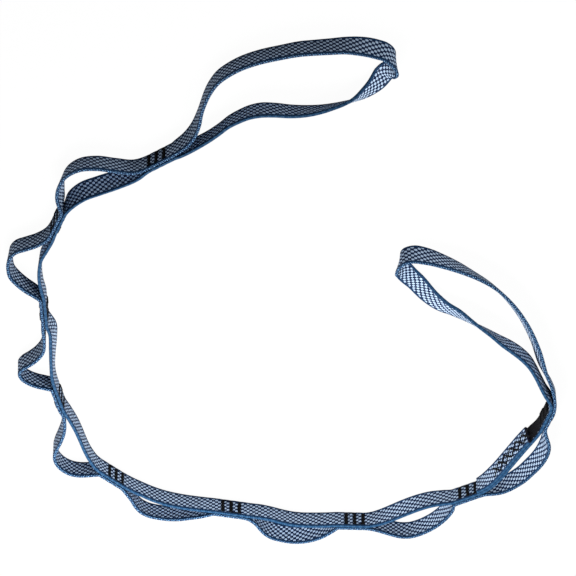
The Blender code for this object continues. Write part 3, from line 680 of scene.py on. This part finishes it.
def webbing_material(web):
    """Woven polyamide tape: pale and dark yarns on both faces, and two dyed selvedges.

    Pale yarns float over the dark ones in short slanted dashes, so a face is chequered. The
    dashes stand in columns 2.4 mm apart, and each column is shifted by a third of a row. The
    single yarns, about 0.3 mm wide, are too fine to show, so a dash is one colour. On the faces
    each selvedge is navy with fine blue stitches; the navy, darker than its blue side, is painted
    shade that stands for the shadow on the lower selvedge. Along its side one selvedge is woven
    from fine yarns of three blues, which look like grains, and the other is plain blue with faint
    ribs. The yarn is textured, so the tape is nearly matt.
    """
    material, tree, shader = new_material("woven_polyamide_tape", roughness=0.75,
                                          sheen=0.03, gloss=0.15)
    ground, pale, blue, pale_blue, navy = (opaque(tone) for tone in (
        web.ground_colour, web.float_colour, web.edge_colour, web.edge_pale, web.edge_dark_and_shade))
    place = add_node(tree, "ShaderNodeAttribute", attribute_name="web_place")
    scaled = add_node(tree, "ShaderNodeVectorMath", {0: place.outputs["Vector"], "Scale": MM},
                      operation="SCALE")
    along, across, through = add_node(tree, "ShaderNodeSeparateXYZ", {0: scaled}).outputs
    height, depth = (add_node(tree, "ShaderNodeMath", {0: value}, operation="ABSOLUTE")
                     for value in (across, through))
    round_edge = add_node(tree, "ShaderNodeMath", {0: height, 1: depth}, operation="SUBTRACT")

    # Each layer below has a value, where it begins and where it is full, its share, and its
    # colour. The sum of two waves goes from -2 to 2, and the other values are in millimetres.
    # The dashes lie where two slanted waves both peak. The numbers of those two peaks belong to
    # one dash alone, and give it its own tone.
    column = web.column * MM
    row = web.row * MM
    waves = (weighted_sum(tree, (along, math.tau * web.step / column), (across, -math.tau / row)),
             weighted_sum(tree, (along, math.tau * (1 - web.step) / column),
                          (across, math.tau / row)))
    dashes = wave_sum(tree, *waves)
    numbers = []
    for wave in waves:
        turns = add_node(tree, "ShaderNodeMath", {0: wave, 1: math.tau}, operation="DIVIDE")
        numbers.append(add_node(tree, "ShaderNodeMath", {0: turns}, operation="ROUND"))
    dash = add_node(tree, "ShaderNodeCombineXYZ", {0: numbers[0], 1: numbers[1]})
    chance = add_node(tree, "ShaderNodeTexWhiteNoise", {"Vector": dash}, noise_dimensions="2D")
    uneven = layered(tree, pale, (chance, 0, 1, 0.3, opaque(web.float_colour, 0.6)))
    face = layered(tree, ground, (dashes, 0.05, 0.4, 1, uneven))

    # Grains and ribs are about 2 mm apart, which is several yarns together.
    grain = wave_sum(
        tree, weighted_sum(tree, (along, math.tau / 2.1), (round_edge, math.tau / 2.6)),
        weighted_sum(tree, (along, math.tau / 4.7), (round_edge, -math.tau / 1.5)))
    ribs = wave_sum(
        tree, weighted_sum(tree, (along, math.tau / 1.9), (through, math.tau / 4.0)),
        weighted_sum(tree, (along, math.tau / 5.3)))
    speckled = layered(tree, blue, (grain, 0.9, 1.5, 1, pale_blue), (grain, 0.4, -0.3, 1, navy))
    plain = layered(tree, blue, (ribs, -0.6, 1.4, 0.12, pale_blue))
    # The selvedge on each face: navy with blue stitches, where the navy is painted shade, darker
    # than the blue side.
    stitches = layered(tree, navy, (grain, -0.9, 0.5, 1, blue))
    side = web.thickness / 2 * MM
    edge = layered(tree, plain, (across, -0.1, 0.1, 1, speckled),
                   (depth, side - 0.3, side - 0.05, 1, stitches))

    border = (web.width / 2 - web.selvedge) * MM
    seal = add_node(tree, "ShaderNodeAttribute", attribute_name="seal")
    # The tail's cut end is painted near-black: partly its melted end, partly painted shade at the
    # cut.
    tone = layered(tree, face, (height, border - 0.1, border + 0.1, 1, edge),
                   (seal.outputs["Fac"], 0.35, 0.65, 1, opaque(colour("0E1226"))))
    selvedge = add_node(tree, "ShaderNodeMapRange", {
        "Value": height, "From Min": border - 0.1, "From Max": border + 0.1},
        interpolation_type="SMOOTHSTEP")
    relief = add_node(tree, "ShaderNodeMix", {0: selvedge, 2: dashes, 3: grain})
    dress(tree, shader, tone, relief, distance=0.00010, strength=0.5)
    return material


def thread_material(stitching):
    """Bonded polyester thread: twisted plies of black filament, dull under their coat.

    The plies would be 0.2 mm wide, too fine to show, so the twist is drawn as 0.5 mm bands.
    """
    material, tree, shader = new_material("bonded_polyester_thread", roughness=0.7,
                                          sheen=0.0, gloss=0.12)
    place = add_node(tree, "ShaderNodeTexCoord")
    band = add_node(tree, "ShaderNodeTexNoise", {
        "Vector": place.outputs["Object"], "Scale": 1800.0, "Detail": 1.0})
    tone = add_node(tree, "ShaderNodeMix", {
        0: band, 6: opaque(stitching.thread_colour), 7: opaque(stitching.thread_colour, 1.8)},
        data_type="RGBA").outputs[2]
    dress(tree, shader, tone, band, distance=0.00008, strength=0.7)
    return material


def label_material(label):
    """Woven polyester label: fine black satin rib, plain and nearly matt.

    The ribs would be 0.25 mm apart, too fine to show, so they are drawn 0.8 mm apart.
    """
    material, tree, shader = new_material("woven_polyester_label", roughness=0.8,
                                          sheen=0.0, gloss=0.06)
    place = add_node(tree, "ShaderNodeAttribute", attribute_name="web_place")
    along, across, _ = add_node(tree, "ShaderNodeSeparateXYZ", {
        0: place.outputs["Vector"]}).outputs
    ribs = wave_sum(tree, weighted_sum(tree, (across, math.tau * MM / 0.8)),
                    weighted_sum(tree, (along, math.tau * MM / 1.3)))
    tone = layered(tree, opaque(label.label_colour),
                   (ribs, -1.5, 1.5, 1, opaque(label.label_colour, 2)))
    dress(tree, shader, tone, ribs, distance=0.00004, strength=0.3)
    return material


def tree_named(name, build):
    """Returns a tree, made the first time that it is asked for."""
    return bpy.data.node_groups.get(name) or build()


def material_named(name, build, values):
    """Returns a material, made the first time that it is asked for."""
    return bpy.data.materials.get(name) or build(values)


def tape(name, points, start, way, material, width, thickness, upper=-1.0, seal=None):
    """Makes a tape along (place, lean) points.

    start is the tape's place along the whole webbing at its first point, and way is 1 where the
    place grows along the points and -1 where it shrinks.
    """
    web = bpy.context.scene.daisy_webbing
    places = [place for place, _ in points]
    along = [start]
    for a, b in zip(places, places[1:]):
        along.append(along[-1] + way * (b - a).length)
    numbers = {"lean": [lean for _, lean in points], "along": along,
               "press": [press_at(place) for place in places]}
    if seal:
        numbers["seal"] = seal
    path = path_mesh(name, [places], numbers, {})
    values = {"Width": width, "Thickness": thickness,
              "Edge Round": min(WEB_EDGE_ROUND, thickness * MOST_ROUND_SHARE),
              "Pressed": -web.pressed if thickness > LABEL_THICKNESS else 0.0,
              "Upper Edge": upper, "Material": material}
    mesh = grown_mesh(name, path, tree_named("Flat webbing", build_tape_tree), values)
    for key in ("lean", "along", "press"):
        if key in mesh.attributes:
            mesh.attributes.remove(mesh.attributes[key])
    return mesh


def cut_webbing(name, points, start, way, node, upper=-1.0, seal=None):
    """Makes a length of the webbing along (place, lean) points, in place of its solid."""
    web = bpy.context.scene.daisy_webbing
    material = material_named("woven_polyamide_tape", webbing_material, web)
    mesh = tape(name, points, start, way, material, web.width, web.thickness, upper, seal)
    piece = new_piece(name, mesh)
    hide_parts(node)
    return piece


def webbing_strand(name, route, start, way, node, upper=-1.0):
    """Makes one strand of webbing in place of its solid."""
    points = [(Vector((at.x, at.y, stand_height(at.z))), at.z) for at in route]
    return cut_webbing(name, points, start, way, node, upper=upper)


def bend_at(piece):
    """Bakes the piece's transform into its mesh."""
    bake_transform(piece)


def link_body(link):
    return "link_" + str(link + 1)


def strand_starts():
    """Returns each load and pocket route with its start along the one length of webbing.

    The webbing runs up the load side to the first end loop, round it, and back down the pocket
    side. Its length is counted from the first tack on the load side.
    """
    loop = end_loop_route(0, -1, END_LOOP_A_REACH, END_LOOP_A_SHARES)
    load = []
    pocket = []
    load_start = 0
    pocket_start = route_length(loop)
    for link in range(POCKETS):
        route = strand_route(link, -1, LOAD_SHARES[link])
        load.append((route, load_start))
        load_start -= route_length(route)
        route = strand_route(link, 1, POCKET_SHARES[link])
        pocket.append((route, pocket_start))
        pocket_start += route_length(route)
    return loop, load, pocket, load_start


class DAISY_OT_end_loops(bpy.types.Operator):
    """Make the webbing of both end loops"""
    bl_idname = "daisy.end_loops"
    bl_label = "End loops"

    def execute(self, context):
        route, _, _, load_end = strand_starts()
        piece = webbing_strand("end_loop_a_web", route, 0, 1, "end_loop_a")
        bend_at(piece)
        route = end_loop_route(POCKETS, 1, END_LOOP_B_REACH, END_LOOP_B_SHARES)
        piece = webbing_strand("end_loop_b_web", route, load_end, -1, "end_loop_b")
        bend_at(piece)
        return {"FINISHED"}


class DAISY_OT_strands(bpy.types.Operator):
    """Make the load and pocket strands between the bar tacks"""
    bl_idname = "daisy.strands"
    bl_label = "Load and pocket strands"

    def execute(self, context):
        _, load, pocket, _ = strand_starts()
        for side, routes, way in (("load", load, -1), ("pocket", pocket, 1)):
            # The half turn in the first end loop leaves the load side the other way up.
            upper = -way
            for link, (route, start) in enumerate(routes):
                number = str(link + 1)
                piece = webbing_strand(side + "_web_" + number, route, start, way,
                                       side + "_strand_" + number, upper)
                if link < POCKETS - 1:
                    bend_at(piece)
                else:
                    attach(piece, link_body(link))
        return {"FINISHED"}


def stitched(name, lines, spacing, throw, crown, thread, seed):
    """Makes sewn thread along (points, way across, way out) lines."""
    material = material_named("bonded_polyester_thread", thread_material,
                              bpy.context.scene.daisy_stitching)
    vectors = {"across": [across for points, across, _ in lines for _ in points],
               "out": [out for points, _, out in lines for _ in points]}
    path = path_mesh(name, [points for points, _, _ in lines], {}, vectors)
    values = {"Spacing": spacing, "Throw": throw, "Crown": crown, "Thread": thread,
              "Seed": seed, "Material": material}
    mesh = grown_mesh(name, path, tree_named("Stitches", build_thread_tree), values)
    return new_piece(name, mesh)


def tack_lines(tack, thread):
    """Returns the lines of a bar tack's bars and of the jumps between them, on both faces."""
    lines = []
    way = TACK_DIRECTIONS[tack].to_3d()
    half = UP * (BAR_LENGTH - thread) / 2
    for sign in (-1, 1):
        out = outward(TACK_DIRECTIONS[tack]).to_3d() * sign
        face = HALF_STACK
        if sign < 0 and tack == POCKETS:
            face += LABEL_LIFT + LABEL_THICKNESS
        bars = []
        for bar in range(BARS_PER_TACK):
            shift = (bar - (BARS_PER_TACK - 1) / 2) * BAR_SPACING
            middle = tack_point(tack, shift, 0).to_3d() + UP * WEB_WIDTH / 2
            middle += out * (face + thread * BAR_LIFT)
            bars.append([middle - half, middle + half])
        lines += [(bar, way, out) for bar in bars]
        lift = out * thread * JUMP_LIFT
        for number, (bar, after) in enumerate(zip(bars, bars[1:])):
            end = number % 2
            lines.append(([bar[end] + lift, after[end] + lift], NOWHERE, out))
    return lines


class DAISY_OT_bar_tacks(bpy.types.Operator):
    """Sew the bar tacks through both layers of webbing"""
    bl_idname = "daisy.bar_tacks"
    bl_label = "Bar tacks"

    def execute(self, context):
        sewn = context.scene.daisy_stitching
        for tack in range(POCKETS + 1):
            number = str(tack + 1)
            piece = stitched("bar_tack_stitches_" + number, tack_lines(tack, sewn.thread),
                             spacing=sewn.row, throw=sewn.throw, crown=sewn.crown,
                             thread=sewn.thread, seed=tack)
            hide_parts("bar_tack_" + number)
            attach(piece, link_body(min(tack, POCKETS - 1)))
        return {"FINISHED"}


class DAISY_OT_splice(bpy.types.Operator):
    """Make the lapped end of the webbing and the crossed seam that holds it"""
    bl_idname = "daisy.splice"
    bl_label = "Splice"

    # The run of the cut end that is darkened, partly as its melted end and partly as painted
    # shade at the cut, then the seam: crosses in a row along the webbing, of two lines of
    # stitches each way, with their height above the webbing's lower edge.
    seal_and_shade_run = 0.0024
    seam_start = 0.0230
    seam_pitch = 0.0090
    seam_low = 0.0042
    seam_high = 0.0130
    seams = 6
    seam_gap = 0.0010
    seam_steps = 8

    def seam_line(self, route, first, rising, sign, face):
        """Returns one line of stitches across the webbing, as (points, way across, way out)."""
        points = []
        ways = []
        for step in range(self.seam_steps + 1):
            share = step / self.seam_steps
            place, out, up, _ = frame_at(route, first + share * self.seam_pitch)
            rise = share if rising else 1 - share
            height = self.seam_low + (self.seam_high - self.seam_low) * rise
            points.append(place + up * (height - WEB_WIDTH / 2) + out * sign * face)
            ways.append(out * sign)
        return points, NOWHERE, ways[self.seam_steps // 2]

    def execute(self, context):
        web = context.scene.daisy_webbing
        sewn = context.scene.daisy_stitching
        _, load, _, _ = strand_starts()
        route, start = load[-1]
        layer = WEB_THICKNESS + LAYER_GAP
        tail_end = TAIL_START + TAIL_LENGTH
        places = layer_beside(route, TAIL_START, tail_end, layer)
        # How far each point lies into the darkened end, which is melted end and painted shade.
        seal = [max(0, 1 - (tail_end - along) / self.seal_and_shade_run) for along, _, _ in places]
        tail = cut_webbing("splice_tail_web", [place[1:] for place in places],
                           start - TAIL_START, -1, "splice_tail",
                           upper=1.0, seal=seal)
        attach(tail, link_body(POCKETS - 1))

        lines = []
        for sign, face in ((-1, layer + web.thickness / 2), (1, web.thickness / 2)):
            for cross in range(self.seams):
                for rising, beside in ((r, b) for r in (True, False) for b in (-1, 1)):
                    first = TAIL_START + self.seam_start + cross * self.seam_pitch
                    first += beside * self.seam_gap / 2
                    lines.append(self.seam_line(route, first, rising, sign,
                                                face + sewn.thread * SEAM_LIFT))
        seam = stitched("splice_seam_stitches", lines, spacing=sewn.seam_stitch, throw=0.0,
                        crown=sewn.crown, thread=sewn.seam_thread, seed=POCKETS + 1)
        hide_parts("splice_seam")
        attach(seam, link_body(POCKETS - 1))
        return {"FINISHED"}


class DAISY_OT_label(bpy.types.Operator):
    """Make the plain woven label beside the splice"""
    bl_idname = "daisy.label"
    bl_label = "Label"

    def execute(self, context):
        label = context.scene.daisy_label
        _, load, _, _ = strand_starts()
        route = load[-1][0]
        end = flat_point(tack_point(POCKETS, TACK_HALF + LABEL_OVERRUN, -LAYER_OFFSET))
        whole = route + straight(route[-1], end)[1:] + [end]
        first = TAIL_START + TAIL_LENGTH + LABEL_GAP
        last = route_length(whole)
        places = layer_beside(whole, first, last,
                              WEB_THICKNESS / 2 + LABEL_LIFT + LABEL_THICKNESS / 2)
        material = material_named("woven_polyester_label", label_material, label)
        mesh = tape("label_cloth", [place[1:] for place in places], 0, 1, material, label.width,
                    LABEL_THICKNESS)
        piece = new_piece("label_cloth", mesh)
        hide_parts("label")
        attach(piece, link_body(POCKETS - 1))
        return {"FINISHED"}


def backdrop_material(tone):
    """Paper backdrop: matt, evenly white to the camera, and toned in the light it throws back."""
    material = bpy.data.materials.new("paper_backdrop")
    material.use_nodes = True
    tree = material.node_tree
    tree.nodes.clear()
    white = add_node(tree, "ShaderNodeEmission", {"Strength": 1.0})
    seen = add_node(tree, "ShaderNodeLightPath").outputs["Is Camera Ray"]
    share = add_node(tree, "ShaderNodeMath", {0: seen, 1: FLOOR_WHITE_SHARE},
                     operation="MULTIPLY")
    seen_tone = add_node(tree, "ShaderNodeMix", {
        0: seen, 6: opaque(tone), 7: opaque(colour("F4F4F4"))}, data_type="RGBA").outputs[2]
    paper = add_node(tree, "ShaderNodeBsdfDiffuse", {"Color": seen_tone})
    both = add_node(tree, "ShaderNodeMixShader", {0: share, 1: paper, 2: white})
    add_node(tree, "ShaderNodeOutputMaterial", {0: both})
    return material


class DAISY_OT_stage(bpy.types.Operator):
    """Make the camera, the lamps, the sky and the floor"""
    bl_idname = "daisy.stage"
    bl_label = "Stage"

    def execute(self, context):
        scene = context.scene
        stage = scene.daisy_stage
        lens = bpy.data.cameras.new("camera")
        lens.lens = CAMERA_LENS
        lens.sensor_width = CAMERA_SENSOR
        camera = bpy.data.objects.new("camera", lens)
        camera.location = CAMERA_PLACE
        camera.rotation_mode = "QUATERNION"
        # The photograph's lower side is +Y, so the camera is rolled by half a turn.
        turned = (Vector(CAMERA_PLACE) - Vector(CAMERA_TARGET)).to_track_quat("Z", "Y").to_matrix()
        turned.col[0] *= -1
        turned.col[1] *= -1
        camera.rotation_quaternion = turned.to_quaternion()
        scene.collection.objects.link(camera)
        scene.camera = camera

        for name, power, (size, place) in (("key_lamp", stage.key, KEY_LAMP),
                                           ("fill_lamp", stage.fill, FILL_LAMP)):
            light = bpy.data.lights.new(name, "AREA")
            light.shape = "SQUARE"
            light.size = size
            light.energy = power
            lamp = bpy.data.objects.new(name, light)
            lamp.location = place
            lamp.rotation_mode = "QUATERNION"
            lamp.rotation_quaternion = Vector(place).to_track_quat("Z", "Y")
            scene.collection.objects.link(lamp)

        world = bpy.data.worlds.new("sky")
        world.use_nodes = True
        tree = world.node_tree
        tree.nodes.clear()
        seen = add_node(tree, "ShaderNodeLightPath").outputs["Is Camera Ray"]
        soft, white = (add_node(tree, "ShaderNodeBackground", {
            "Color": (1, 1, 1, 1), "Strength": strength}) for strength in (stage.sky, 1.0))
        both = add_node(tree, "ShaderNodeMixShader", {0: seen, 1: soft, 2: white})
        add_node(tree, "ShaderNodeOutputWorld", {0: both})
        scene.world = world
        scene.view_settings.view_transform = "Standard"

        mesh = bpy.data.meshes.new("floor")
        corners = [(x * FLOOR_HALF, y * FLOOR_HALF, 0)
                   for x, y in ((-1, -1), (1, -1), (1, 1), (-1, 1))]
        mesh.from_pydata(corners, [], [(0, 1, 2, 3)])
        mesh.materials.append(backdrop_material(stage.floor_colour))
        floor = bpy.data.objects.new("floor", mesh)
        scene.collection.objects.link(floor)
        return {"FINISHED"}


class DAISY_PT_panel(bpy.types.Panel):
    """Sizes, colours and steps of the daisy chain"""
    bl_idname = "DAISY_PT_panel"
    bl_label = "Daisy chain"
    bl_space_type = "VIEW_3D"
    bl_region_type = "UI"
    bl_category = "Daisy chain"

    def draw(self, context):
        scene = context.scene
        for group in (scene.daisy_webbing, scene.daisy_stitching, scene.daisy_label,
                      scene.daisy_stage):
            box = self.layout.box()
            for key in group.__annotations__:
                box.prop(group, key)
        for operator in OPERATORS:
            self.layout.operator(operator.bl_idname)


GROUPS = (DaisyWebbing, DaisyStitching, DaisyLabel, DaisyStage)
OPERATORS = (DAISY_OT_stage, DAISY_OT_end_loops, DAISY_OT_strands, DAISY_OT_bar_tacks,
             DAISY_OT_splice, DAISY_OT_label)


def register():
    for item in GROUPS + OPERATORS + (DAISY_PT_panel,):
        bpy.utils.register_class(item)
    bpy.types.Scene.daisy_webbing = PointerProperty(type=DaisyWebbing)
    bpy.types.Scene.daisy_stitching = PointerProperty(type=DaisyStitching)
    bpy.types.Scene.daisy_label = PointerProperty(type=DaisyLabel)
    bpy.types.Scene.daisy_stage = PointerProperty(type=DaisyStage)


def unregister():
    for key in ("daisy_webbing", "daisy_stitching", "daisy_label", "daisy_stage"):
        delattr(bpy.types.Scene, key)
    for item in reversed(GROUPS + OPERATORS + (DAISY_PT_panel,)):
        bpy.utils.unregister_class(item)


def main():
    register()
    bpy.ops.daisy.stage()
    bpy.ops.daisy.end_loops()
    bpy.ops.daisy.strands()
    bpy.ops.daisy.bar_tacks()
    bpy.ops.daisy.splice()
    bpy.ops.daisy.label()


if __name__ == "__main__":
    main()
